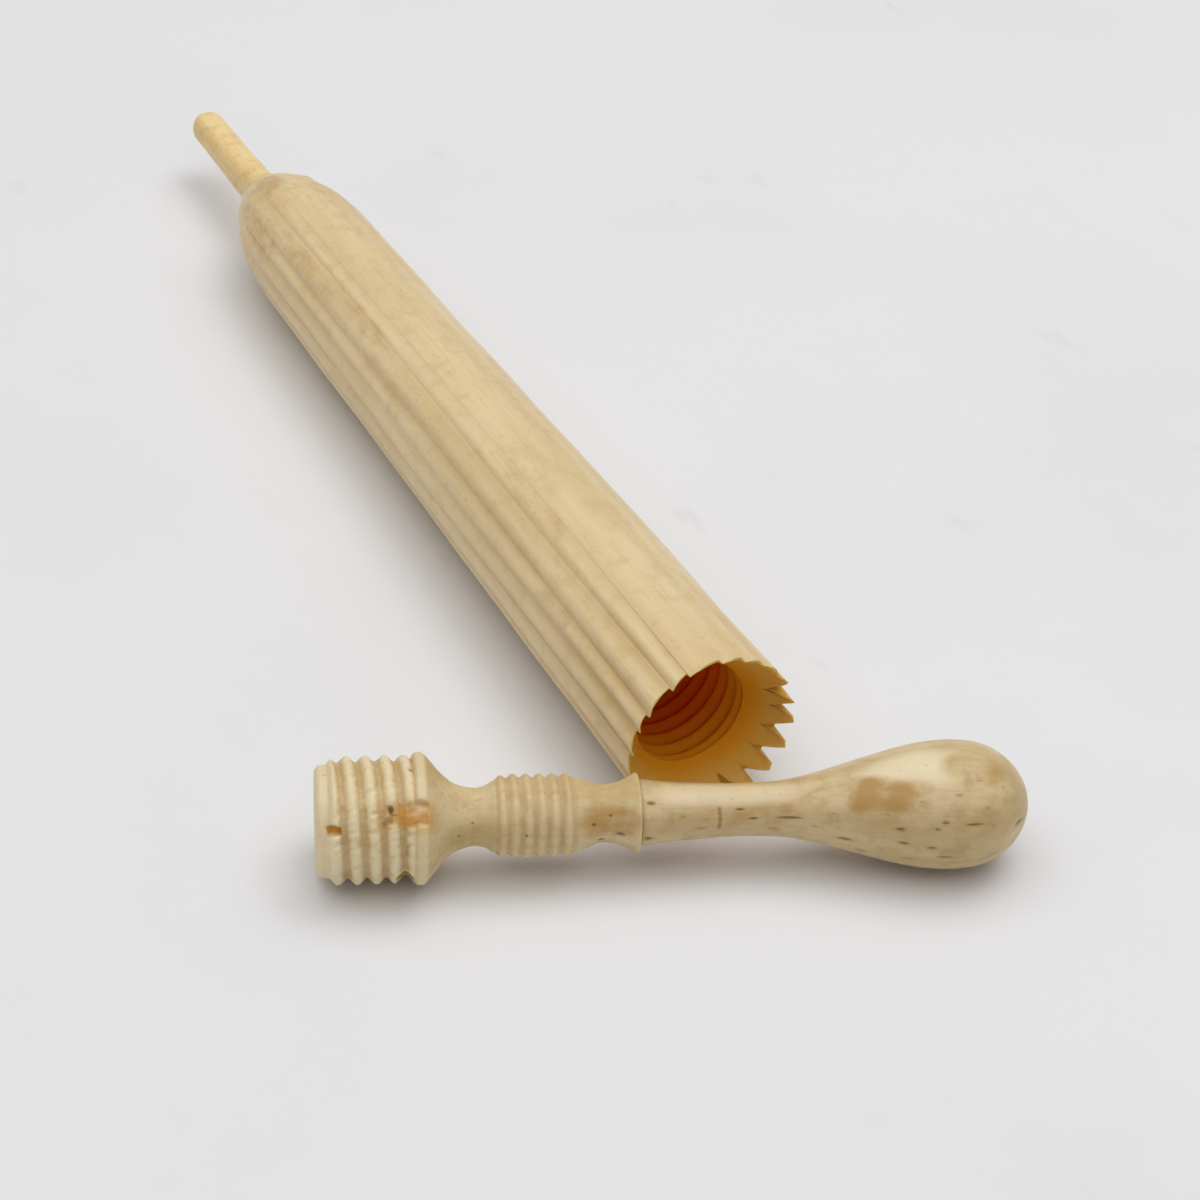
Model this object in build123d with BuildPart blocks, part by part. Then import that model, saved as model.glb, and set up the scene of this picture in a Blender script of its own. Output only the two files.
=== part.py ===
from build123d import *
import os
from math import asin, cos, pi, radians, sin

# Needle case in the form of a closed parasol, turned and carved from bone (millimetres, +Z up).
# It lies open: the fluted canopy tube points along +Y, and the screw-in handle lies across
# in front of its mouth. Z = 0 is the surface that both rest on.

# ---- driving dimensions -------------------------------------------------------------------
# canopy tube, measured along its axis from the mouth
mouth_radius = 5.73
mid_radius = 5.38
shoulder_radius = 4.86
mid_at = 26.0
shoulder_at = 63.0
shoulder_bends = [(66.6, 4.58), (69.2, 4.1), (71.3, 3.48), (73.0, 2.68)]
shoulder_start_slope = (1, -0.03)
shoulder_end_slope = (1, -1.3)
lip_radius = 1.85
lip_height = 0.9
lip_at = 75.0
flute_count = 20
flute_cut_radius = 0.75
flute_depth = 0.22
flute_end = (69.6, 4.25)
tooth_depth = 1.3
tooth_land = 0.25
rim_wall = 0.35
cut_run_out = 1.0

# hollow of the canopy tube
dish_depth = 2.2
dish_bend = (0.99, 4.55)
thread_depth = 8.2
thread_crest = 3.62
thread_root = 4.0
thread_lead_out = 0.6
chamber_radius = 3.3
chamber_depth = 64.0

# ferrule peg
ferrule_base_radius = 1.48
ferrule_radius = 1.4
ferrule_step_at = 75.6
ferrule_step_length = 0.8
ferrule_tip_at = 88.6
ferrule_seat = 6.0
seat_end_gap = 0.1
glue_line = 0.02

# handle, measured along its axis from the end of the screw plug
pitch = 1.12
plug_root_radius = 3.38
plug_face_radius = 3.18
plug_crest_radius = 3.75
plug_lead = 0.9
plug_turns = 4
flange_at = 5.7
flange_radius = 3.93
flange_width = 0.6
flare_at = 7.4
flare_radius = 2.61
neck_at = 9.35
neck_radius = 1.71
rib_start = 10.84
rib_pitch = 0.775
rib_count = 6
rib_crest_radius = 2.45
rib_groove_radius = 2.2
rib_start_radius = 2.05
cove_at = 16.88
collar_at = 19.0
collar_radius = 2.37
shank_radius = 1.95
waist_at = 25.4
waist_radius = 1.62
shank_slope = (1, -0.12)
waist_bends = [(29.0, 1.97), (32.1, 2.78), (35.1, 3.6)]
knob_at = 37.56
knob_radius = 3.92
knob_end_bends = [(40.2, 3.5), (41.9, 2.2)]
knob_end_slope = (0, -1)
handle_length = 42.62

# hidden dowel that joins the two turned lengths of the handle
dowel_radius = 0.8
dowel_length = 5.8
dowel_socket = 3.0
running_fit = 0.02

# where the two halves lie on the surface
mouth_centre = (4.49, -37.44, 5.73)
plug_end = (-19.65, -34.20, flange_radius)
handle_yaw = -19.85

# ---- frames worked out from them ----------------------------------------------------------
case_tilt = asin((mouth_radius - shoulder_radius) / shoulder_at)
case_direction = Vector(0, cos(case_tilt), -sin(case_tilt))
case_axis = Axis(mouth_centre, case_direction)
case_section = Plane(origin=mouth_centre, x_dir=case_direction, z_dir=(1, 0, 0))

handle_direction = Vector(cos(radians(handle_yaw)), sin(radians(handle_yaw)), 0)
handle_side = Vector(sin(radians(handle_yaw)), -cos(radians(handle_yaw)), 0)
handle_axis = Axis(plug_end, handle_direction)
handle_section = Plane(origin=plug_end, x_dir=handle_direction, z_dir=handle_side)

tooth_tip = -tooth_depth / 2
flute_step = 360 / flute_count
os.makedirs("parts", exist_ok=True)


# ---- canopy tube --------------------------------------------------------------------------
# one gouge stroke: a round cut just under the outer surface that runs out on the shoulder
with BuildPart() as flute_stroke:
    cut_offset = flute_cut_radius - flute_depth
    with BuildLine(case_section) as stroke_path:
        Spline(
            (tooth_tip - cut_run_out, mouth_radius + cut_offset),
            (mid_at, mid_radius + cut_offset),
            (shoulder_at, shoulder_radius + cut_offset),
            (flute_end[0], flute_end[1] + flute_cut_radius),
        )
    with BuildSketch(Plane(stroke_path.line @ 0, z_dir=stroke_path.line % 0)):
        Circle(flute_cut_radius)
    sweep(path=stroke_path.line)

# one saw-tooth notch in the rim: square on one side, sloping on the other
with BuildPart() as tooth_notch:
    notch_width = 2 * pi * mouth_radius / flute_count
    with BuildSketch(Plane(origin=mouth_centre, x_dir=case_direction, z_dir=case_section.y_dir)):
        with BuildLine():
            Polyline(
                (tooth_tip - cut_run_out, -notch_width / 2),
                (tooth_depth / 2, -notch_width / 2),
                (tooth_tip, notch_width / 2 - tooth_land),
                (tooth_tip - cut_run_out, notch_width / 2 - tooth_land),
                close=True,
            )
        make_face()
    extrude(amount=mouth_radius + cut_run_out)

with BuildPart() as canopy:
    with BuildSketch(case_section):
        with BuildLine():
            Line((tooth_tip, 0), (tooth_tip, mouth_radius))
            Spline(
                (tooth_tip, mouth_radius),
                (mid_at, mid_radius),
                (shoulder_at, shoulder_radius),
            )
            Spline(
                (shoulder_at, shoulder_radius),
                *shoulder_bends,
                (lip_at - lip_height, lip_radius),
                tangents=(shoulder_start_slope, shoulder_end_slope),
            )
            Line((lip_at - lip_height, lip_radius), (lip_at, lip_radius))
            Line((lip_at, lip_radius), (lip_at, 0))
            Line((lip_at, 0), (tooth_tip, 0))
        make_face()
    revolve(axis=case_axis)
    for stroke in range(flute_count):
        add(flute_stroke.part.rotate(case_axis, stroke * flute_step), mode=Mode.SUBTRACT)
    # dished mouth, thread and needle chamber
    with BuildSketch(case_section):
        with BuildLine():
            Polyline(
                (tooth_tip - cut_run_out, 0),
                (tooth_tip - cut_run_out, mouth_radius - rim_wall),
                (tooth_tip, mouth_radius - rim_wall),
            )
            ThreePointArc(
                (tooth_tip, mouth_radius - rim_wall),
                dish_bend,
                (dish_depth, thread_crest),
            )
            ridges = [(dish_depth, thread_crest)]
            turns = int((thread_depth - dish_depth) / pitch)
            for turn in range(turns):
                ridges.append((dish_depth + (turn + 0.5) * pitch, thread_root))
                ridges.append((dish_depth + (turn + 1) * pitch, thread_crest))
            Polyline(*ridges)
            Polyline(
                ridges[-1],
                (thread_depth, thread_crest),
                (thread_depth + thread_lead_out, chamber_radius),
                (chamber_depth - chamber_radius / 2, chamber_radius),
                (chamber_depth, 0),
                (tooth_tip - cut_run_out, 0),
            )
        make_face()
    revolve(axis=case_axis, mode=Mode.SUBTRACT)
    # socket of the ferrule peg
    with BuildSketch(case_section):
        with Locations((lip_at - ferrule_seat / 2, (ferrule_base_radius + glue_line) / 2)):
            Rectangle(ferrule_seat, ferrule_base_radius + glue_line)
    revolve(axis=case_axis, mode=Mode.SUBTRACT)
    for tooth in range(flute_count):
        add(tooth_notch.part.rotate(case_axis, (tooth + 0.5) * flute_step), mode=Mode.SUBTRACT)

# ---- ferrule peg --------------------------------------------------------------------------
with BuildPart() as ferrule:
    seat_start = lip_at - ferrule_seat + seat_end_gap
    with BuildSketch(case_section):
        with BuildLine():
            Polyline(
                (seat_start, 0),
                (seat_start, ferrule_base_radius),
                (ferrule_step_at, ferrule_base_radius),
                (ferrule_step_at + ferrule_step_length, ferrule_radius),
                (ferrule_tip_at - ferrule_radius, ferrule_radius),
            )
            RadiusArc(
                (ferrule_tip_at - ferrule_radius, ferrule_radius),
                (ferrule_tip_at, 0),
                ferrule_radius,
            )
            Line((ferrule_tip_at, 0), (seat_start, 0))
        make_face()
    revolve(axis=case_axis)

# ---- stem: screw plug, neck, ribs, cove and collar ------------------------------------------
with BuildPart() as stem:
    thread_outline = [(0, 0), (0, plug_face_radius), (plug_lead - pitch / 2, plug_root_radius)]
    for turn in range(plug_turns):
        thread_outline.append((plug_lead + turn * pitch, plug_crest_radius))
        thread_outline.append((plug_lead + (turn + 0.5) * pitch, plug_root_radius))
    thread_outline += [(flange_at, plug_root_radius), (flange_at, flange_radius)]
    flange_edge = (flange_at + flange_width, flange_radius)
    rib_outline = [(rib_start - rib_pitch / 2, rib_start_radius)]
    for rib in range(rib_count):
        rib_outline.append((rib_start + rib * rib_pitch, rib_crest_radius))
        rib_outline.append((rib_start + (rib + 0.5) * rib_pitch, rib_groove_radius))
    with BuildSketch(handle_section):
        with BuildLine():
            Polyline(*thread_outline, flange_edge)
            Spline(
                flange_edge,
                (flare_at, flare_radius),
                (neck_at, neck_radius),
                rib_outline[0],
            )
            Polyline(*rib_outline)
            Spline(
                rib_outline[-1],
                (cove_at, neck_radius),
                (collar_at, collar_radius),
            )
            Polyline((collar_at, collar_radius), (collar_at, 0), (0, 0))
        make_face()
    revolve(axis=handle_axis)
    with BuildSketch(handle_section):
        with Locations((collar_at - dowel_socket / 2, (dowel_radius + running_fit) / 2)):
            Rectangle(dowel_socket, dowel_radius + running_fit)
    revolve(axis=handle_axis, mode=Mode.SUBTRACT)

# ---- grip: shank and pear-shaped knob -------------------------------------------------------
with BuildPart() as grip:
    with BuildSketch(handle_section):
        with BuildLine():
            Line((collar_at, 0), (collar_at, shank_radius))
            Spline(
                (collar_at, shank_radius),
                (waist_at, waist_radius),
                *waist_bends,
                (knob_at, knob_radius),
                *knob_end_bends,
                (handle_length, 0),
                tangents=(shank_slope, knob_end_slope),
            )
            Line((handle_length, 0), (collar_at, 0))
        make_face()
    revolve(axis=handle_axis)
    with BuildSketch(handle_section):
        with Locations((collar_at + dowel_socket / 2, (dowel_radius + running_fit) / 2)):
            Rectangle(dowel_socket, dowel_radius + running_fit)
    revolve(axis=handle_axis, mode=Mode.SUBTRACT)

# ---- dowel --------------------------------------------------------------------------------
with BuildPart() as dowel:
    with BuildSketch(handle_section):
        with Locations((collar_at, dowel_radius / 2)):
            Rectangle(dowel_length, dowel_radius)
    revolve(axis=handle_axis)

pieces = {"canopy": canopy, "ferrule": ferrule, "stem": stem, "grip": grip, "dowel": dowel}
for name, piece in pieces.items():
    piece.part.label = name
    export_step(piece.part, f"parts/{name}.step")
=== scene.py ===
import math

import bpy
import numpy as np
from mathutils import Matrix, Vector


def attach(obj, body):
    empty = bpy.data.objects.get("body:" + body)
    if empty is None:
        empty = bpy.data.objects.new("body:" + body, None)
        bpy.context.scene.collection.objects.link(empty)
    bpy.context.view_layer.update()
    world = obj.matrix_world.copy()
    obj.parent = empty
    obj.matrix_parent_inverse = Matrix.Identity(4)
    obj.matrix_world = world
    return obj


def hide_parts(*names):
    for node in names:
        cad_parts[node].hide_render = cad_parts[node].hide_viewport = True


# Looks of the bone needle case: a fluted canopy tube with its ferrule peg, and the turned
# handle that screws into it. Lengths are written in millimetres and scaled once, in add_mesh.

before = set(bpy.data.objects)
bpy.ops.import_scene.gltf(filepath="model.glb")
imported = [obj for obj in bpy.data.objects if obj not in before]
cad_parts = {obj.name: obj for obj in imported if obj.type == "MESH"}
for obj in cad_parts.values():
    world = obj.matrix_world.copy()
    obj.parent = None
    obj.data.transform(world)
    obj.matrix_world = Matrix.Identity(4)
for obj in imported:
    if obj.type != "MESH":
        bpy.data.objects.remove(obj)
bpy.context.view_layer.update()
MM = 0.001
TURN = 2 * np.pi
rng = np.random.default_rng(41)

# ---- the two axes, as in the CAD model -----------------------------------------------------
MOUTH_RADIUS = 5.73
SHOULDER_RADIUS = 4.86
SHOULDER = 63.0
FLANGE_RADIUS = 3.93
PITCH = 1.12
TILT = math.asin((MOUTH_RADIUS - SHOULDER_RADIUS) / SHOULDER)
MOUTH = np.array([4.49, -37.44, MOUTH_RADIUS])
CASE_ALONG = np.array([0.0, math.cos(TILT), -math.sin(TILT)])
CASE_UP = np.array([0.0, math.sin(TILT), math.cos(TILT)])
CASE_SIDE = np.array([1.0, 0.0, 0.0])

YAW = math.radians(-19.85)
PLUG_END = np.array([-19.65, -34.20, FLANGE_RADIUS])
HANDLE_ALONG = np.array([math.cos(YAW), math.sin(YAW), 0.0])
HANDLE_UP = np.array([0.0, 0.0, 1.0])
HANDLE_SIDE = np.array([math.sin(YAW), -math.cos(YAW), 0.0])
CASE_AXES = (CASE_ALONG, CASE_UP, CASE_SIDE)
HANDLE_AXES = (HANDLE_ALONG, HANDLE_UP, HANDLE_SIDE)

SHARP_FROM = math.radians(50)
MASKS = ("groove_and_shade", "stain_and_shade", "pale", "amber", "pit", "inside")


# ---- small helpers --------------------------------------------------------------------------
def smooth(edge0, edge1, x):
    t = np.clip((x - edge0) / (edge1 - edge0), 0, 1)
    return t * t * (3 - 2 * t)


def window(x, start, end, soft):
    """1 between start and end, falling to 0 over soft on either side."""
    return smooth(start - soft, start + soft, x) * (1 - smooth(end - soft, end + soft, x))


def curve(points, at):
    """Smooth outline through (along, radius) points, without overshoot."""
    x = np.array([p[0] for p in points], float)
    y = np.array([p[1] for p in points], float)
    h = np.diff(x)
    d = np.diff(y) / h
    m = np.zeros_like(y)
    same = d[1:] * d[:-1] > 0
    w1 = 2 * h[1:] + h[:-1]
    w2 = h[1:] + 2 * h[:-1]
    with np.errstate(divide="ignore", invalid="ignore"):
        inner = (w1 + w2) / (w1 / d[:-1] + w2 / d[1:])
    m[1:-1] = np.where(same, inner, 0)
    m[0] = d[0]
    m[-1] = d[-1]
    at = np.clip(at, x[0], x[-1])
    i = np.clip(np.searchsorted(x, at) - 1, 0, len(h) - 1)
    t = (at - x[i]) / h[i]
    a = (1 + 2 * t) * (1 - t) ** 2 * y[i] + t * (1 - t) ** 2 * h[i] * m[i]
    return a + t * t * (3 - 2 * t) * y[i + 1] + t * t * (t - 1) * h[i] * m[i + 1]


def waves(a, b, count, low, high, seed, power=1.0):
    """Soft wandering value of two lay coordinates (mm), about -1 to 1, sum of seeded waves."""
    r = np.random.default_rng(seed)
    total = np.zeros(np.broadcast(a, b).shape)
    scale = 0.0
    for _ in range(count):
        f = r.uniform(low, high)
        turn = r.uniform(0, TURN)
        weight = f ** -power
        total += weight * np.sin(f * (a * math.cos(turn) + b * math.sin(turn)) + r.uniform(0, TURN))
        scale += weight * weight
    return total / math.sqrt(scale)


def ring_waves(angle, along, count, low, high, seed):
    """Wandering value that closes round a turned piece: whole waves round it, free along it."""
    r = np.random.default_rng(seed)
    total = np.zeros(np.broadcast(angle, along).shape)
    for _ in range(count):
        k = r.integers(0, 5)
        f = r.uniform(low, high)
        total += np.sin(k * angle + f * along + r.uniform(0, TURN))
    return total / math.sqrt(count)


def wrap(angle):
    """The same angle between minus half a turn and half a turn."""
    return (angle + np.pi) % TURN - np.pi


def spot(along, turned, at, at_turn, long, wide):
    """Soft elliptical spot on a turned surface; turned, at_turn and wide are in degrees."""
    away = ((along - at) / long) ** 2 + (np.degrees(wrap(np.radians(turned - at_turn))) / wide) ** 2
    return 1 - smooth(0.1, 1.0, away)


def add_mesh(name, along, radius, angle, origin, axes, masks):
    """Closed lathe-like mesh: rings of (along, radius, angle), each end closed by one vertex.

    The finishes read each vertex's place on the turned piece from "lay", and its masks.
    """
    forward, up, side = axes
    rows, columns = along.shape
    out_up = radius * np.cos(angle)
    out_side = radius * np.sin(angle)
    rings = origin + along[..., None] * forward + out_up[..., None] * up + out_side[..., None] * side
    points = np.vstack([rings.reshape(-1, 3), rings[0].mean(0), rings[-1].mean(0)]) * MM
    row = np.arange(rows - 1)[:, None] * columns
    here = np.arange(columns)
    after = (here + 1) % columns
    quads = np.stack([row + here, row + after, row + columns + after, row + columns + here], -1)
    start = np.stack([after, here, np.full(columns, rows * columns)], -1)
    stop = np.stack([here, after, np.full(columns, rows * columns + 1)], -1)
    stop[:, :2] += (rows - 1) * columns
    faces = quads.reshape(-1, 4).tolist() + start.tolist() + stop.tolist()
    mesh = bpy.data.meshes.new(name)
    mesh.from_pydata(points.tolist(), [], faces)
    lay = np.stack([along, out_up, out_side], -1).reshape(-1, 3)
    lay = np.vstack([lay, lay[0], lay[-1]])
    vector = mesh.attributes.new("lay", "FLOAT_VECTOR", "POINT")
    vector.data.foreach_set("vector", lay.astype(np.float32).ravel())
    for key in MASKS:
        flat = np.broadcast_to(masks.get(key, 0.0), along.shape).ravel()
        flat = np.concatenate([flat, [flat[0], flat[-1]]])
        layer = mesh.attributes.new(key, "FLOAT", "POINT")
        layer.data.foreach_set("value", flat.astype(np.float32))
    mesh.validate()
    piece = bpy.data.objects.new(name, mesh)
    bpy.context.scene.collection.objects.link(piece)
    bpy.context.view_layer.objects.active = piece
    piece.select_set(True)
    bpy.ops.object.mode_set(mode="EDIT")
    bpy.ops.mesh.select_all(action="SELECT")
    bpy.ops.mesh.normals_make_consistent(inside=False)
    bpy.ops.object.mode_set(mode="OBJECT")
    piece.select_set(False)
    mesh.shade_smooth()
    mesh.set_sharp_from_angle(angle=SHARP_FROM)
    return piece


# ---- node materials ------------------------------------------------------------------------
class Nodes:
    """Short names for the few nodes that the bone finishes are built from."""

    def __init__(self, name):
        self.material = bpy.data.materials.new(name)
        self.material.use_nodes = True
        self.tree = self.material.node_tree
        self.shader = self.tree.nodes["Principled BSDF"]

    def add(self, kind):
        return self.tree.nodes.new(kind)

    def link(self, source, target):
        self.tree.links.new(source, target)

    def field(self, name, vector=False):
        node = self.add("ShaderNodeAttribute")
        node.attribute_name = name
        return node.outputs["Vector" if vector else "Fac"]

    def stretched(self, source, scale):
        node = self.add("ShaderNodeMapping")
        node.inputs["Scale"].default_value = scale
        self.link(source, node.inputs["Vector"])
        return node.outputs["Vector"]

    def noise(self, source, scale, detail=3.0, rough=0.5):
        node = self.add("ShaderNodeTexNoise")
        node.inputs["Scale"].default_value = scale
        node.inputs["Detail"].default_value = detail
        node.inputs["Roughness"].default_value = rough
        self.link(source, node.inputs["Vector"])
        return node.outputs["Fac"]

    def span(self, source, low, high, to_low=0.0, to_high=1.0):
        node = self.add("ShaderNodeMapRange")
        node.interpolation_type = "SMOOTHSTEP"
        node.inputs["From Min"].default_value = low
        node.inputs["From Max"].default_value = high
        node.inputs["To Min"].default_value = to_low
        node.inputs["To Max"].default_value = to_high
        self.link(source, node.inputs["Value"])
        return node.outputs["Result"]

    def times(self, a, b):
        node = self.add("ShaderNodeMath")
        node.operation = "MULTIPLY"
        self.link(a, node.inputs[0])
        if isinstance(b, float):
            node.inputs[1].default_value = b
        else:
            self.link(b, node.inputs[1])
        return node.outputs[0]

    def plus(self, a, b):
        node = self.add("ShaderNodeMath")
        node.operation = "ADD"
        node.use_clamp = True
        self.link(a, node.inputs[0])
        self.link(b, node.inputs[1])
        return node.outputs[0]

    def blend(self, amount, under, over):
        """Colour over laid on colour under by amount; a colour is a tuple or a socket."""
        node = self.add("ShaderNodeMix")
        node.data_type = "RGBA"
        self.link(amount, node.inputs["Factor"])
        for colour, socket in ((under, node.inputs[6]), (over, node.inputs[7])):
            if isinstance(colour, tuple):
                socket.default_value = (*colour, 1)
            else:
                self.link(colour, socket)
        return node.outputs[2]

    def bump(self, height, strength, distance):
        node = self.add("ShaderNodeBump")
        node.inputs["Strength"].default_value = strength
        node.inputs["Distance"].default_value = distance
        self.link(height, node.inputs["Height"])
        self.link(node.outputs["Normal"], self.shader.inputs["Normal"])


TAN = (0.49, 0.285, 0.085)
# pale colour for worn bone, also used for painted highlights
PALE_WEAR_AND_HIGHLIGHT = (0.87, 0.75, 0.51)
AMBER = (0.60, 0.28, 0.03)
SPECK = (0.30, 0.19, 0.09)
CANAL = (0.23, 0.14, 0.045)


def bone(name, light, mid, stain_and_shade, shift, chalk=0.0, soak=0.35, gloss=(0.34, 0.52), mottle=0.38):
    """Old bone: mottled cream, fine lengthwise grain, stains, amber spots and dark canals."""
    n = Nodes(name)
    moved = n.add("ShaderNodeVectorMath")
    moved.operation = "ADD"
    moved.inputs[1].default_value = (shift, shift * 0.7, -shift)
    n.link(n.field("lay", vector=True), moved.inputs[0])
    lay = moved.outputs["Vector"]

    # patterns: broad clouds and fine grain run along the piece, patches don't
    cloud = n.noise(n.stretched(lay, (0.12, 1, 1)), 0.42, 4.0, 0.55)
    patch = n.noise(lay, 0.75, 3.0, 0.6)
    grain = n.noise(n.stretched(lay, (0.05, 1, 1)), 5.5, 4.0, 0.62)
    fleck = n.noise(n.stretched(lay, (0.35, 1, 1)), 7.5, 2.0, 0.5)
    torn = n.noise(n.stretched(lay, (0.6, 1, 1)), 1.2, 6.0, 0.68)

    # colour, from the plain bone up to the darkest marks
    colour = n.blend(n.span(cloud, 0.36, 0.66), light, mid)
    colour = n.blend(n.span(patch, 0.48, 0.72, 0.0, mottle), colour, stain_and_shade)
    colour = n.blend(n.span(grain, 0.5, 0.72, 0.0, 0.3), colour, stain_and_shade)
    # grooves darkened towards the stain colour: dirt in the thread roots and ribs, darker halos round the
    # canals, painted shade in the flutes and along the grip's lower side
    colour = n.blend(n.times(n.field("groove_and_shade"), 0.62), colour, stain_and_shade)
    # tan: real stains, and the painted shade on the screw plug's lower side
    tan = n.span(n.plus(n.times(n.field("stain_and_shade"), 0.62), n.times(torn, 0.8)), 0.48, 1.02, 0.0, 0.92)
    colour = n.blend(tan, colour, TAN)
    # pale: worn spots, and painted highlights on the flute ridges, the lip ring and the tops of knob and
    # shank
    colour = n.blend(n.times(n.field("pale"), 0.85), colour, PALE_WEAR_AND_HIGHLIGHT)
    colour = n.blend(n.times(n.field("amber"), n.span(patch, 0.25, 0.7, 0.8, 1.0)), colour, AMBER)
    speck = n.times(n.span(fleck, 0.68, 0.76), n.span(cloud, 0.42, 0.6, 0.1, 0.75))
    colour = n.blend(speck, colour, SPECK)
    colour = n.blend(n.times(n.field("pit"), n.span(grain, 0.3, 0.6, 0.7, 1.0)), colour, CANAL)
    n.link(colour, n.shader.inputs["Base Color"])

    # surface: grooves and open grain are duller
    dull = n.plus(n.times(grain, 0.7), n.times(n.field("groove_and_shade"), 0.3))
    n.link(n.span(dull, 0.25, 0.75, *gloss), n.shader.inputs["Roughness"])
    n.shader.inputs["Specular IOR Level"].default_value = 0.3
    n.shader.inputs["Subsurface Weight"].default_value = soak
    n.shader.inputs["Subsurface Radius"].default_value = (1.0, 0.5, 0.16)
    n.shader.inputs["Subsurface Scale"].default_value = 0.0014
    n.bump(n.plus(n.times(grain, 0.55), n.times(n.noise(lay, 3.2, 3.0, 0.6), 0.45)), 0.28 + chalk, 0.00009)
    return n


# ---- canopy tube -----------------------------------------------------------------------------
FLUTES = 20
PER_FLUTE = 28
RIM_ZONE = 7.7
LIP_FOOT = 74.55
THREAD_START = 2.3
CHAMBER_RADIUS = 3.3
TIP = -0.65
OUTER = [(TIP, 5.72), (3.2, 5.63), (11.3, 5.52), (26, 5.35), (39.7, 5.13), (52, 4.97), (SHOULDER, 4.84),
         (66.6, 4.57), (69.2, 4.08), (71.3, 3.46), (73.0, 2.7), (73.9, 2.12), (74.1, 1.84),
         (LIP_FOOT, 1.86)]
DISH = [(TIP, 5.54), (0.2, 5.2), (1.0, 4.62), (1.7, 4.1), (THREAD_START, 3.72)]
CHAMBER = ((8.9, 3.45), (9.3, CHAMBER_RADIUS), (14, CHAMBER_RADIUS), (24, CHAMBER_RADIUS), (40, 3.28),
           (55, 3.2), (61, 3.0), (63, 2.3), (63.8, 1.0))
LIP_RING = ((74.2, 0.3), (74.2, 1.52), (74.9, 1.53), (75.0, 1.58), (75.04, 1.68), (75.0, 1.78),
            (74.88, 1.84), (74.7, 1.86))

step = TURN / FLUTES
flute_edge = (np.arange(FLUTES) + rng.uniform(-0.13, 0.13, FLUTES)) * step
flute_cut = rng.uniform(0.55, 1.25, FLUTES)
flute_lift = rng.uniform(-0.05, 0.0, FLUTES)
tooth_cut = rng.uniform(0.8, 1.08, FLUTES)
wander_at = rng.uniform(0, TURN, FLUTES)
u_one = np.linspace(0, 0.97, PER_FLUTE)
flute_of = np.repeat(np.arange(FLUTES), PER_FLUTE)
u_of = np.tile(u_one, FLUTES)


def flute_angles(along):
    """Angle of every column at these distances from the mouth: boundaries wander a little."""
    wander = 0.05 * step * np.sin(along[:, None] * 0.11 + wander_at[None, :])
    edges = flute_edge[None, :] + wander
    following = np.roll(edges, -1, axis=1)
    following[:, -1] += TURN
    return edges[:, flute_of] + (following - edges)[:, flute_of] * u_of[None, :]


def flute_depth(along, angle):
    """How far the hand-cut flutes sink below the ridge line."""
    turned = np.degrees(wrap(angle))
    worn = 0.16 + 0.84 * window(turned, -168, -32, 26) + 0.5 * window(turned, 75, 200, 25)
    lengthwise = 1 - 0.4 * window(along, 26, 52, 14) - 0.25 * smooth(52, 64, along)
    worn = worn + 0.35 * (1 - smooth(1.5, 12, along))
    fade = 1 - 0.85 * smooth(61, 69, along)
    crest = np.sin(np.pi * u_of ** 0.84) ** 1.8
    return 0.23 * worn * lengthwise * fade * flute_cut[flute_of] * (1 - crest)


# outside, walked from the lip to the rim; near the mouth the rows bend to follow the teeth
rows_outer = np.concatenate([
    np.linspace(LIP_FOOT, 66, 46), np.linspace(65.8, 8, 130), np.linspace(RIM_ZONE, TIP, 30),
])
s_out = np.repeat(rows_outer[:, None], FLUTES * PER_FLUTE, 1)
phi_out = flute_angles(rows_outer)
deg_out = np.degrees(wrap(phi_out))
rim_turn = np.degrees(wrap(phi_out[-1]))
tooth_size = tooth_cut[flute_of] * (0.42 + 1.15 * window(rim_turn, 62, 178, 16))
tooth_edge = TIP + tooth_size * np.clip((u_of - 0.3) / 0.58, 0, 1)
mouth_share = np.clip((RIM_ZONE - s_out) / (RIM_ZONE - TIP), 0, 1)
s_cut = s_out + mouth_share ** 3 * (tooth_edge[None, :] - TIP)
depth = flute_depth(s_out, phi_out)
r_out = curve(OUTER, s_cut) + flute_lift[flute_of] * (1 - smooth(64, 72, s_out)) - depth
knuckle = 0.12 * np.sin(np.pi * u_of) ** 2 * (flute_cut[flute_of] - 0.5)
r_out = r_out + knuckle * window(s_out, 69.5, 72.5, 1.4)
bump_turn = np.degrees(wrap(phi_out - math.radians(46)))
r_out = r_out + 0.24 * (1 - smooth(0.1, 1.0, ((s_out - 71.9) / 1.1) ** 2 + (bump_turn / 15) ** 2))
r_out += 0.035 * ring_waves(phi_out, s_out, 9, 0.05, 0.5, 7) * window(s_out, 4, 70, 3)
groove_out = np.clip(depth / 0.3, 0, 1)

# rim, dish, thread and needle chamber, walked inwards from the saw-toothed edge
rim_s = s_cut[-1]
rim_r = r_out[-1]
rim_phi = phi_out[-1]
inside_start = curve(DISH, rim_s)


def ring(s, r):
    return np.broadcast_to(s, rim_phi.shape), np.broadcast_to(r, rim_phi.shape)


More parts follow.
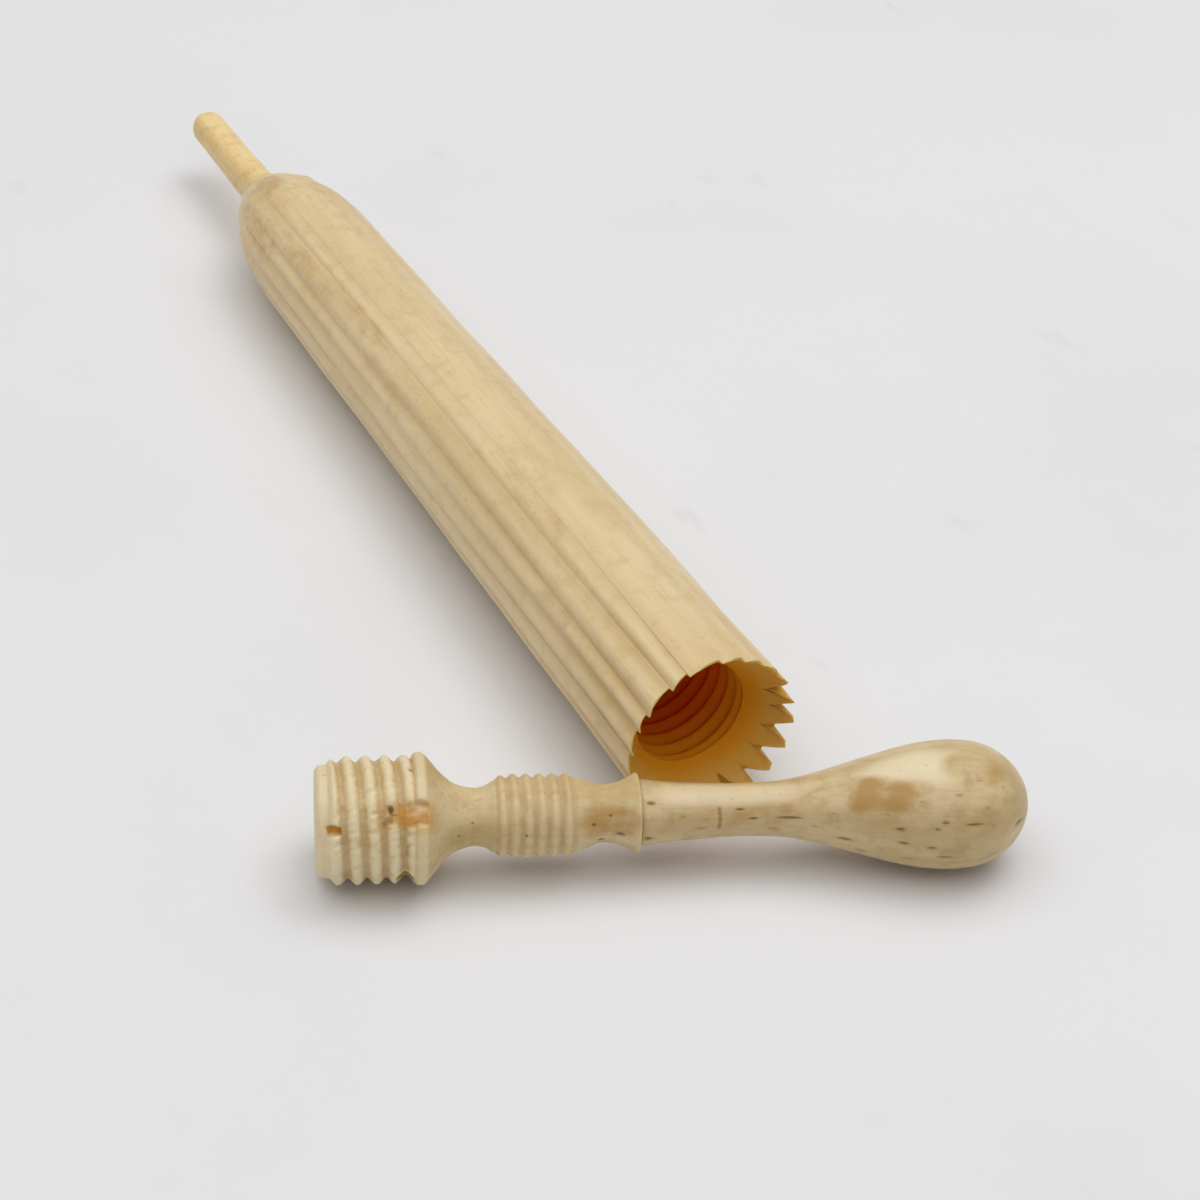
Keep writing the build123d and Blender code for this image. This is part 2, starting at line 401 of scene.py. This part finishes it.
rim_land = 0.05
inner = [
    ring(rim_s, rim_r - 0.04),
    ring(rim_s, np.minimum(inside_start + 0.04, rim_r - 0.08)),
    ring(rim_s + rim_land, np.minimum(inside_start, rim_r - 0.12)),
]
for share in np.linspace(0.1, 1, 14):
    s_here = rim_s + rim_land + (THREAD_START - rim_s - rim_land) * share
    inner.append(ring(s_here, np.minimum(curve(DISH, s_here), rim_r - 0.14)))
for s_here in np.arange(THREAD_START + 0.04, 8.6, 0.07):
    phase = ((s_here - THREAD_START) / PITCH + rim_phi / TURN) % 1
    ridge = np.abs(2 * phase - 1)
    cut = 0.32 * smooth(0.0, 1.0, 1 - ridge) * window(s_here, 2.6, 8.2, 0.5)
    inner.append(ring(s_here, 3.64 + cut))
for s_here, r_here in CHAMBER:
    inner.append(ring(s_here, r_here))
s_in = np.array([a for a, _ in inner])
r_in = np.array([b for _, b in inner])
phi_in = np.repeat(rim_phi[None, :], len(inner), 0)

# the lip round the ferrule, walked outwards from the bottom of its socket
s_lip = np.repeat(np.array([a for a, _ in LIP_RING])[:, None], FLUTES * PER_FLUTE, 1)
r_lip = np.repeat(np.array([b for _, b in LIP_RING])[:, None], FLUTES * PER_FLUTE, 1)
phi_lip = np.repeat(phi_out[:1], len(LIP_RING), 0)
r_lip = r_lip + np.where(s_lip > 74.6, 0.03 * ring_waves(phi_lip, s_lip, 5, 0.1, 0.4, 12), 0)

tube_s = np.vstack([s_lip, s_cut, s_in])
tube_r = np.vstack([r_lip, r_out, r_in])
tube_phi = np.vstack([phi_lip, phi_out, phi_in])
zero_lip = np.zeros_like(s_lip)
zero_in = np.zeros_like(s_in)

# stains of the tube: (along, degrees, half length, half width in degrees, strength)
TUBE_STAINS = (
    (66, -62, 7, 18, 0.5), (58, -45, 10, 13, 0.48), (47, -38, 8, 11, 0.42), (40, -54, 9, 11, 0.36),
    (20, -25, 7, 10, 0.42), (70, -20, 3, 30, 0.5), (10, -62, 8, 8, 0.36), (62, 12, 8, 14, 0.34),
    (33, 20, 10, 12, 0.28), (30, 140, 9, 25, 0.45), (55, 170, 7, 20, 0.45), (46, 95, 9, 18, 0.4),
)
tube_stain = np.zeros_like(s_out)
for at, turned, long, wide, strength in TUBE_STAINS:
    tube_stain = np.maximum(tube_stain, strength * spot(s_out, deg_out, at, turned, long, wide))
# painted highlight: the ridges between the flutes are painted paler than the grooves
tube_ridge_highlight = 0.22 * (1 - groove_out) * window(s_out, -1, 64, 3)
rim_glow = 0.45 * (1 - smooth(-0.4, 1.4, s_cut)) * window(deg_out, 52, 178, 14)
mouth_glow = 0.35 + 0.65 * smooth(-0.6, 2.8, s_in) + smooth(2.6, 7.5, s_in)
tube_masks = {
    # painted shade: the flute grooves are painted darker through this mask
    "groove_and_shade": np.vstack([zero_lip, groove_out, zero_in]),
    "stain_and_shade": np.vstack([zero_lip, tube_stain, zero_in]),
    # painted highlight: the lip ring round the ferrule is painted paler all round
    "pale": np.vstack([zero_lip + 0.2, tube_ridge_highlight, zero_in]),
    "inside": np.vstack([zero_lip, rim_glow, mouth_glow]),
}
canopy_tube = add_mesh("canopy_tube", tube_s, tube_r, tube_phi, MOUTH, CASE_AXES, tube_masks)

# ---- ferrule peg -----------------------------------------------------------------------------
FERRULE_SOCKET = 1.47
FERRULE_COLUMNS = 72
FERRULE = [(74.25, 1.46), (76.0, 1.48), (78.5, 1.44), (82, 1.38), (85.5, 1.36), (87.0, 1.36),
           (87.7, 1.26), (88.2, 1.02), (88.46, 0.66), (88.56, 0.25)]
fer_rows = np.concatenate([np.linspace(74.25, 86.8, 60), np.linspace(86.95, 88.56, 26)])
fer_row = np.linspace(0, TURN, FERRULE_COLUMNS, endpoint=False)
fer_phi = np.repeat(fer_row[None, :], len(fer_rows), 0)
fer_s = np.repeat(fer_rows[:, None], FERRULE_COLUMNS, 1)
facets = 0.02 * np.cos(5 * fer_phi + 0.4)
dents = 0.012 * ring_waves(fer_phi, fer_s, 6, 0.2, 1.4, 3) * window(fer_s, 75.5, 87.4, 0.8)
fer_r = np.minimum(curve(FERRULE, fer_s) * (1 - facets - dents), FERRULE_SOCKET)
fer_masks = {
    "groove_and_shade": 0.45 * window(fer_s, 74, 75.5, 0.5),
    "stain_and_shade": 0.3 * np.clip(ring_waves(fer_phi, fer_s, 6, 0.3, 1.6, 9), 0, 1),
}
ferrule_peg = add_mesh("ferrule_peg", fer_s, fer_r, fer_phi, MOUTH, CASE_AXES, fer_masks)

# ---- stem: screw plug, neck, ribs, cove and collar -------------------------------------------
AROUND = 400
COLLAR = 19.0
THREAD_LEAD = 0.85
THREAD_ROOT = 3.4
THREAD_HEIGHT = 0.38
NOSE_RADIUS = 3.28
NECK_START = 5.6
RIBS_START = 10.4
RIBS_END = 15.15
RIB_AT = 10.84
RIB_PITCH = 0.775
RIB_ROOT = 2.23
RIB_HEIGHT = 0.22
NECK = [(NECK_START, 3.45), (5.76, 3.8), (5.92, 3.91), (6.2, 3.91), (6.42, 3.76), (6.84, 3.26),
        (7.38, 2.64), (8.26, 1.97), (9.35, 1.71), (9.9, 1.82), (RIBS_START, 2.1)]
COVE = [(RIBS_END, 2.2), (15.7, 2.1), (16.88, 1.71), (17.7, 1.82), (18.35, 2.08), (18.92, 2.36)]
theta_row = np.linspace(0, TURN, AROUND, endpoint=False)


def stem_radius(t, angle):
    """Radius of the unworn stem: helical thread, neck, ribs and cove, from the plug's end on."""
    away = np.abs((((t - THREAD_LEAD) / PITCH - angle / TURN) % 1) - 0.5) * 2
    thread = THREAD_ROOT + THREAD_HEIGHT * smooth(0.0, 0.9, away)
    start = smooth(THREAD_LEAD - 0.35, THREAD_LEAD + 0.15, t - 0.12 * np.cos(angle))
    plug = NOSE_RADIUS + (thread - NOSE_RADIUS) * start
    nose = NOSE_RADIUS - 0.2 + 0.2 * smooth(0.0, 0.28, t)
    plug = np.where(t < 0.3, np.minimum(plug, nose), plug)
    neck = curve(NECK, t)
    plug = np.where(t > NECK_START, np.maximum(plug, neck), plug)
    rib_wave = np.abs((((t - RIB_AT) / RIB_PITCH) % 1) - 0.5) * 2
    ribs = RIB_ROOT + RIB_HEIGHT * smooth(0.0, 0.9, rib_wave)
    ribs = ribs - 0.13 * (1 - smooth(RIBS_START, 11.2, t))
    after_neck = np.where(t < RIBS_END, ribs, curve(COVE, t))
    return np.where(t < 5.8, plug, np.where(t < RIBS_START, neck, after_neck))


stem_rows = np.concatenate([
    np.array([0.0, 0.02, 0.08]), np.arange(0.14, 6.5, 0.045), np.linspace(6.52, 10.38, 44),
    np.arange(10.41, RIBS_END, 0.045), np.linspace(15.17, 18.84, 56),
    np.array([18.9, 18.94, 18.97, 18.99, COLLAR, COLLAR, COLLAR]),
])
st_t = np.repeat(stem_rows[:, None], AROUND, 1)
st_a = np.repeat(theta_row[None, :], len(stem_rows), 0)
st_r = stem_radius(st_t, st_a)
# the flat end faces, as rings that step inwards
st_t[1] = 0.0
for row, face_radius in ((0, 1.5), (1, 3.0), (-4, 2.33), (-3, 2.2), (-2, 1.4), (-1, 0.4)):
    st_r[row] = face_radius
st_turn = (np.degrees(st_a) + 180) % 360 - 180
ragged = 1.5 * waves(st_t, st_turn / 15, 9, 1.5, 7.0, 5)
ragged_t = 0.07 * waves(st_t, st_turn / 12, 9, 2.0, 8.0, 6)


def broken(t0, t1, a0, a1, soft_t=0.06, soft_a=1.4):
    """Ragged-edged area of the stem between two distances and two angles in degrees."""
    return window(st_t + ragged_t, t0, t1, soft_t) * window(st_turn + ragged, a0, a1, soft_a)


# losses of the screw plug: (start, end, from degrees, to degrees, floor radius, seed)
LOSSES = (
    (0.45, 1.5, 56, 65, 3.27, 45), (3.5, 4.5, 39, 57, 3.52, 350), (4.4, 6.4, 36, 57, 3.56, 440),
    (4.7, 5.6, 116, 150, 3.2, 470), (1.5, 2.4, 206, 222, 3.35, 150), (5.44, 5.58, -1.2, 1.2, 3.3, 544),
)
for t0, t1, a0, a1, floor_r, seed in LOSSES:
    hit = broken(t0, t1, a0, a1, 0.09, 2.0)
    rough_floor = floor_r + 0.07 * waves(st_t, st_turn / 20, 10, 3.0, 14.0, seed)
    st_r = st_r + (np.minimum(st_r, rough_floor) - st_r) * hit
on_thread = window(st_t, 0.9, 5.7, 0.2)
crest_wear = np.clip(waves(st_t, st_turn / 10, 12, 2.0, 9.0, 21), 0, 2)
st_r -= 0.08 * on_thread * crest_wear * smooth(3.45, 3.75, st_r)
st_r -= 0.02 * on_thread * (1 + waves(st_t, st_turn / 12, 16, 3.0, 14.0, 77, 0.5))
st_r += 0.012 * ring_waves(st_a, st_t, 8, 0.4, 3.0, 14) * window(st_t, 0.3, 18.7, 0.2)

amber = np.maximum(broken(0.5, 1.45, 57, 64), 0.8 * broken(4.5, 6.5, 37, 57, 0.35, 5))
amber = np.maximum(amber, 0.45 * broken(3.4, 6.9, 34, 60, 0.5, 7))
amber = np.maximum(amber, 0.6 * broken(4.7, 5.6, 116, 150))
# crumbling bone: (area, strength, from and to of the waves, their slowest and fastest, seed)
CRUMBLING = (
    (broken(3.95, 4.9, 36, 47), 1.0, 0.0, 0.7, 8.0, 16.0, 33),
    (broken(3.6, 4.1, 48, 56), 0.6, 0.2, 0.8, 6.0, 12.0, 35),
    (broken(3.7, 4.8, 46, 57), 0.45, 0.1, 0.9, 5.0, 11.0, 37),
)
crumbs = 0.0 * st_t
for area, strength, low, high, slow, fast, seed in CRUMBLING:
    speckled = smooth(low, high, waves(st_t, st_turn / 14, 10, slow, fast, seed))
    crumbs = np.maximum(crumbs, strength * area * speckled)
crumbs = np.maximum(crumbs, 0.7 * broken(5.45, 5.58, -1.0, 1.0))
crumbs = np.maximum(crumbs, 0.7 * broken(4.85, 5.5, 120, 146))
chip = broken(5.5, 6.2, 39, 46, 0.2, 4)
olive = np.maximum(broken(3.0, 3.5, 68, 76, 0.1, 4), broken(5.15, 5.5, 74, 86, 0.1, 4))
root = on_thread * (1 - smooth(3.42, 3.6, st_r)) * (1 - amber)
rib_groove = window(st_t, 10.5, 15.2, 0.2) * (1 - smooth(RIB_ROOT, 2.36, st_r))
dust = 0.5 + 0.5 * np.clip(waves(st_t, st_turn / 16, 10, 0.8, 4.0, 51), -1, 1)
# canals of the stem: (along, degrees, half length, half width in degrees)
STEM_CANALS = (
    (17.8, 92, 0.35, 5), (16.2, 70, 0.18, 4), (17.2, 55, 0.14, 4), (9.1, 62, 0.12, 3),
    (12.2, 80, 0.1, 3), (16.7, 112, 0.3, 5), (8.3, 84, 0.12, 3), (17.4, 205, 0.4, 6),
)
stem_pit = 0.0 * st_t
for at, turned, long, wide in STEM_CANALS:
    stem_pit = np.maximum(stem_pit, spot(st_t, st_turn, at, turned, long, wide))

stem_stain_and_shade = 0.4 * window(st_t, 6.6, 10.3, 0.8) * dust + 0.75 * olive
stem_stain_and_shade = stem_stain_and_shade + 0.75 * spot(st_t, st_turn, 17.0, 66, 2.4, 50)
# painted shade: the lower side of the screw plug is painted darker and browner
stem_stain_and_shade = stem_stain_and_shade + 0.3 * window(st_turn, 80, 170, 22) * window(st_t, 0.6, 6.6, 0.8)
stem_stain_and_shade = stem_stain_and_shade + 0.1 * root * dust + 0.85 * broken(3.4, 6.8, 35, 58, 0.4, 5) * dust
stem_stain_and_shade = stem_stain_and_shade + 0.3 * window(st_t, 10.6, 15, 0.3) * dust ** 2
stem_pale = 0.8 * on_thread * smooth(3.46, 3.7, st_r) + 0.7 * window(st_t, -0.2, 0.95, 0.1)
stem_pale = stem_pale + 0.5 * window(st_t, 5.8, 6.4, 0.1) + 0.5 * broken(0.5, 1.35, 66, 86)
stem_masks = {
    "groove_and_shade": np.clip(0.24 * root * (0.6 + 0.8 * dust) + 0.4 * rib_groove, 0, 1),
    "stain_and_shade": np.clip(stem_stain_and_shade, 0, 1),
    "pale": np.clip(stem_pale, 0, 1) * (1 - np.minimum(amber, 1)) + 0.6 * chip,
    "amber": amber * (1 - 0.6 * chip),
    "pit": np.clip(crumbs + stem_pit, 0, 1),
}
st_r = st_r - 0.05 * stem_pit
handle_stem = add_mesh("handle_stem", st_t, st_r, st_a, PLUG_END, HANDLE_AXES, stem_masks)

# ---- grip: shank and pear-shaped knob --------------------------------------------------------
GRIP_START = 19.02
KNOB_END = 42.56
GRIP = [(GRIP_START, 1.9), (19.25, 1.97), (20.2, 1.86), (21.8, 1.73), (24.9, 1.59), (26.8, 1.63),
        (28.0, 1.74), (29.4, 2.03), (31.0, 2.46), (32.8, 2.98), (34.6, 3.47), (36.2, 3.8), (37.7, 3.92),
        (39.0, 3.84), (40.2, 3.5), (41.2, 2.86), (41.9, 2.1), (42.35, 1.3), (KNOB_END, 0.6)]
grip_rows = np.concatenate([
    np.array([GRIP_START, GRIP_START]), np.linspace(19.04, 19.5, 12), np.linspace(19.56, 41, 250),
    np.linspace(41.06, KNOB_END, 44),
])
gr_t = np.repeat(grip_rows[:, None], AROUND, 1)
gr_a = np.repeat(theta_row[None, :], len(grip_rows), 0)
gr_r = curve(GRIP, gr_t)
gr_r[0] = 0.6
gr_turn = (np.degrees(gr_a) + 180) % 360 - 180
uneven_turning = ring_waves(gr_a, gr_t, 8, 0.1, 0.5, 17) * smooth(19.5, 23, gr_t) * (1 - smooth(40, 42, gr_t))
gr_r = gr_r * (1 - 0.008 - 0.008 * uneven_turning)

# canals of the bone opened by turning: (along, degrees, half length, half width in degrees)
CLEAR = (
    (25.7, 70, 0.26, 3.6), (24.9, 50, 0.24, 3.4), (27.8, 69, 0.72, 3.4), (31.1, 100, 0.42, 2.6),
    (34.2, 75, 0.24, 2.0), (34.45, 91, 0.26, 1.8), (36.1, 93, 0.24, 1.5), (36.3, 73, 0.14, 1.3),
    (36.75, 67, 0.2, 1.5), (37.0, 104, 0.42, 1.4), (38.5, 69, 0.5, 1.3), (41.6, 82, 0.3, 3.6),
    (19.6, 35, 0.24, 4.0), (19.45, 104, 0.22, 6.0),
)
FAINT = (
    (21.5, 61, 0.14, 3.0), (22.6, 88, 0.3, 3.0),
    (26.9, 96, 0.3, 3.2), (29.3, 84, 0.16, 2.4), (32.2, 118, 0.3, 2.4), (33.4, 60, 0.1, 1.2),
    (35.4, 48, 0.12, 1.2), (37.6, 43, 0.22, 1.6), (39.3, 55, 0.12, 1.2), (40.4, 35, 0.12, 1.4),
    (38.9, 30, 0.16, 1.4), (35.0, 112, 0.3, 1.6), (39.9, 108, 0.35, 1.6), (30.4, 60, 0.1, 1.6),
    (22.0, 200, 0.4, 4.0), (27.0, 230, 0.45, 3.6), (33.0, 190, 0.4, 2.2), (36.0, 215, 0.35, 1.6),
    (38.0, 240, 0.4, 1.5), (34.5, 262, 0.3, 1.8), (37.4, 170, 0.35, 1.5), (30.0, 150, 0.35, 2.8),
    (24.0, 140, 0.4, 3.6), (39.0, 320, 0.3, 1.5), (35.2, 300, 0.4, 1.6),
)
pits = 0.0 * gr_t
halo = 0.0 * gr_t
uneven = gr_t + 0.03 * waves(gr_t, gr_turn, 5, 3, 9, 61)
for canals, strength in ((CLEAR, 0.85), (FAINT, 0.4)):
    for at, turned, long, wide in canals:
        pits = np.maximum(pits, strength * spot(uneven, gr_turn, at, turned, 1.35 * long, 1.15 * wide))
        round_canal = spot(gr_t, gr_turn, at, turned, 1.9 * long + 0.12, 2.2 * wide + 1.0)
        halo = np.maximum(halo, strength * round_canal)
crack = window(gr_t + 0.02 * np.sin(gr_turn * 0.16), 23.6, 23.8, 0.07) * window(gr_turn, 44, 93, 4)
pits = np.maximum(pits, 0.7 * crack)
facet = window(gr_turn, 70, 112, 10) * window(gr_t, 41.2, 42.2, 0.35)
gr_r = gr_r - 0.07 * pits - 0.2 * facet

# stains of the grip: (along, degrees, half length, half width in degrees, strength)
GRIP_STAINS = (
    (31.9, 36, 2.6, 30, 1.0), (34.4, 44, 2.6, 18, 0.85), (28.8, 54, 2.6, 24, 0.7), (38.9, 16, 2.6, 28, 0.85),
    (29.6, 42, 2.2, 22, 0.85), (33.0, 40, 4.4, 22, 0.85), (34, 215, 4, 40, 0.4), (36.8, 60, 5.6, 36, 0.45),
    (26.5, 68, 4.5, 34, 0.5), (21.5, 74, 2.6, 34, 0.45),
)
stained = 0.3 * window(gr_t, 19, 20.1, 0.5)
for at, turned, long, wide, strength in GRIP_STAINS:
    stained = np.maximum(stained, strength * spot(gr_t, gr_turn, at, turned, long, wide))
cloudy = 0.62 + 0.5 * ring_waves(gr_a, gr_t, 14, 0.5, 3.2, 27)
# painted highlight: the lit tops of the knob and the shank are painted paler
knob_top_highlight = 0.95 * spot(gr_t, gr_turn, 35.0, 14, 4.2, 32)
shank_top_highlight = 0.6 * spot(gr_t, gr_turn, 23.5, 12, 7, 40)
grip_masks = {
    # painted shade: besides the darker halos round the canals, a darker, duller band along the lower front
    # side of shank and knob
    "groove_and_shade": np.clip(0.45 * halo + 0.3 * window(gr_turn, 62, 160, 25) * window(gr_t, 24, 41, 2), 0, 1),
    "stain_and_shade": np.clip(stained * np.clip(cloudy, 0.15, 1.2), 0, 1),
    "pale": np.maximum(knob_top_highlight, shank_top_highlight) * (1 - np.clip(stained * 1.6, 0, 1)),
    "pit": np.clip(pits, 0, 1),
}
handle_grip = add_mesh("handle_grip", gr_t, gr_r, gr_a, PLUG_END, HANDLE_AXES, grip_masks)

# ---- finishes ----------------------------------------------------------------------------------
def warm_inside(n):
    """Light soaking through the thin wall turns the mouth amber, then red towards the chamber."""
    deep = n.field("inside")
    base = n.shader.inputs["Base Color"].links[0].from_socket
    base = n.blend(n.span(deep, 0.0, 0.5, 0.0, 0.9), base, (0.70, 0.41, 0.05))
    base = n.blend(n.span(deep, 0.5, 1.0, 0.0, 0.95), base, (0.80, 0.33, 0.01))
    base = n.blend(n.span(deep, 1.0, 2.0), base, (0.95, 0.20, 0.004))
    n.link(base, n.shader.inputs["Base Color"])
    n.link(n.span(deep, 0.3, 0.9, 0.3, 0.03), n.shader.inputs["Specular IOR Level"])


tube_bone = bone("tube_bone", (0.79, 0.61, 0.34), (0.70, 0.515, 0.255), (0.56, 0.37, 0.15), 3.0)
warm_inside(tube_bone)
canopy_tube.data.materials.append(tube_bone.material)

ferrule_bone = bone(
    "ferrule_bone", (0.90, 0.69, 0.34), (0.80, 0.57, 0.24), (0.52, 0.34, 0.12), 9.0, soak=0.3,
)
ferrule_peg.data.materials.append(ferrule_bone.material)

stem_bone = bone(
    "stem_bone", (0.71, 0.56, 0.325), (0.59, 0.43, 0.195), (0.46, 0.30, 0.12), 17.0,
    chalk=0.15, gloss=(0.5, 0.7),
)
handle_stem.data.materials.append(stem_bone.material)

grip_bone = bone(
    "grip_bone", (0.72, 0.56, 0.32), (0.57, 0.42, 0.205), (0.47, 0.31, 0.13), 23.0,
    gloss=(0.36, 0.52), mottle=0.55,
)
handle_grip.data.materials.append(grip_bone.material)


def pin_bone():
    """The hidden dowel: plainer bone, grain and small stains worked out from where it lies."""
    n = Nodes("dowel_bone")
    place = n.add("ShaderNodeTexCoord").outputs["Object"]
    grain = n.noise(n.stretched(place, (260, 1300, 1300)), 1.0, 4.0, 0.6)
    patch = n.noise(n.stretched(place, (420, 420, 420)), 1.0, 3.0, 0.55)
    colour = n.blend(n.span(grain, 0.35, 0.7), (0.66, 0.54, 0.34), (0.52, 0.39, 0.2))
    colour = n.blend(n.span(patch, 0.5, 0.8, 0.0, 0.6), colour, (0.38, 0.24, 0.1))
    n.link(colour, n.shader.inputs["Base Color"])
    n.link(n.span(grain, 0.3, 0.7, 0.4, 0.6), n.shader.inputs["Roughness"])
    n.bump(grain, 0.25, 0.00005)
    return n.material


dowel_bone = pin_bone()
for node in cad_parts.values():
    node.data.materials.clear()
    node.data.materials.append(dowel_bone)
    for polygon in node.data.polygons:
        polygon.material_index = 0

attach(canopy_tube, "case")
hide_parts("canopy")
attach(ferrule_peg, "case")
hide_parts("ferrule")
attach(handle_stem, "handle")
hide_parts("stem")
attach(handle_grip, "handle")
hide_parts("grip")

# ---- surface, light and camera ------------------------------------------------------------------
HALF = 2.4
STEPS = 24
FLOOR_Z = -0.00003
grid = np.linspace(-HALF, HALF, STEPS + 1)
gx, gy = np.meshgrid(grid, grid)
floor_points = np.stack([gx, gy, 0 * gx + FLOOR_Z], -1).reshape(-1, 3)
cell = np.arange(STEPS)[:, None] * (STEPS + 1) + np.arange(STEPS)[None, :]
cell = cell.reshape(-1)
floor_faces = np.stack([cell, cell + 1, cell + STEPS + 2, cell + STEPS + 1], -1)
floor_mesh = bpy.data.meshes.new("floor")
floor_mesh.from_pydata(floor_points.tolist(), [], floor_faces.tolist())
floor = bpy.data.objects.new("floor", floor_mesh)
bpy.context.scene.collection.objects.link(floor)
paper = Nodes("pale_board")
place = paper.add("ShaderNodeTexCoord").outputs["Object"]
smudge = paper.noise(place, 26.0, 5.0, 0.55)
mark = paper.noise(paper.stretched(place, (1.0, 0.45, 1.0)), 150.0, 3.0, 0.6)
tone = paper.blend(paper.span(smudge, 0.4, 0.7, 0.0, 0.6), (0.815, 0.81, 0.82), (0.77, 0.765, 0.775))
faint_marks = paper.times(paper.span(mark, 0.62, 0.74), paper.span(smudge, 0.46, 0.6, 0.0, 0.45))
tone = paper.blend(faint_marks, tone, (0.62, 0.60, 0.57))
paper.link(tone, paper.shader.inputs["Base Color"])
paper.link(paper.span(smudge, 0.3, 0.7, 0.5, 0.7), paper.shader.inputs["Roughness"])
paper.shader.inputs["Specular IOR Level"].default_value = 0.2
floor_mesh.materials.append(paper.material)

world = bpy.data.worlds.new("studio")
bpy.context.scene.world = world
world.use_nodes = True
surround = world.node_tree.nodes["Background"]
surround.inputs["Color"].default_value = (0.95, 0.97, 1.0, 1)
surround.inputs["Strength"].default_value = 0.36

LOOK_AT = Vector((8.24, -15.62, 0)) * MM
AWAY = Vector((0.4741, 0.8805, 0))
RIGHT = Vector((0.8805, -0.4741, 0))
UP = Vector((0, 0, 1))
ELEVATION = math.radians(35.61)
ROLL = math.radians(3.86)
DISTANCE = 0.2017


def soft_light(name, place, size, power, colour):
    """Round area light at place, aimed at the middle of the case."""
    data = bpy.data.lights.new(name, "AREA")
    data.shape = "DISK"
    data.size = size
    data.energy = power
    data.color = colour
    lamp = bpy.data.objects.new(name, data)
    bpy.context.scene.collection.objects.link(lamp)
    lamp.location = place
    lamp.rotation_mode = "QUATERNION"
    lamp.rotation_quaternion = (LOOK_AT - place).to_track_quat("-Z", "Y")


key_place = LOOK_AT + AWAY * 0.13 + RIGHT * 0.17 + UP * 0.5
overhead_place = LOOK_AT - RIGHT * 0.08 - AWAY * 0.04 + UP * 0.88
soft_light("key", key_place, 0.4, 0.62, (1.0, 0.985, 0.96))
soft_light("overhead", overhead_place, 1.4, 5.7, (1.0, 0.995, 0.985))

camera_data = bpy.data.cameras.new("camera")
camera_data.sensor_width = 36
camera_data.lens = 90
camera_data.clip_start = 0.01
camera_data.clip_end = 10
camera = bpy.data.objects.new("camera", camera_data)
bpy.context.scene.collection.objects.link(camera)
back = UP * math.sin(ELEVATION) - AWAY * math.cos(ELEVATION)
level_up = back.cross(RIGHT)
cam_x = RIGHT * math.cos(ROLL) + level_up * math.sin(ROLL)
cam_y = level_up * math.cos(ROLL) - RIGHT * math.sin(ROLL)
turned_to = Matrix((cam_x, cam_y, back)).transposed().to_4x4()
camera.matrix_world = Matrix.Translation(LOOK_AT + back * DISTANCE) @ turned_to
bpy.context.scene.camera = camera
bpy.context.scene.view_settings.view_transform = "Standard"
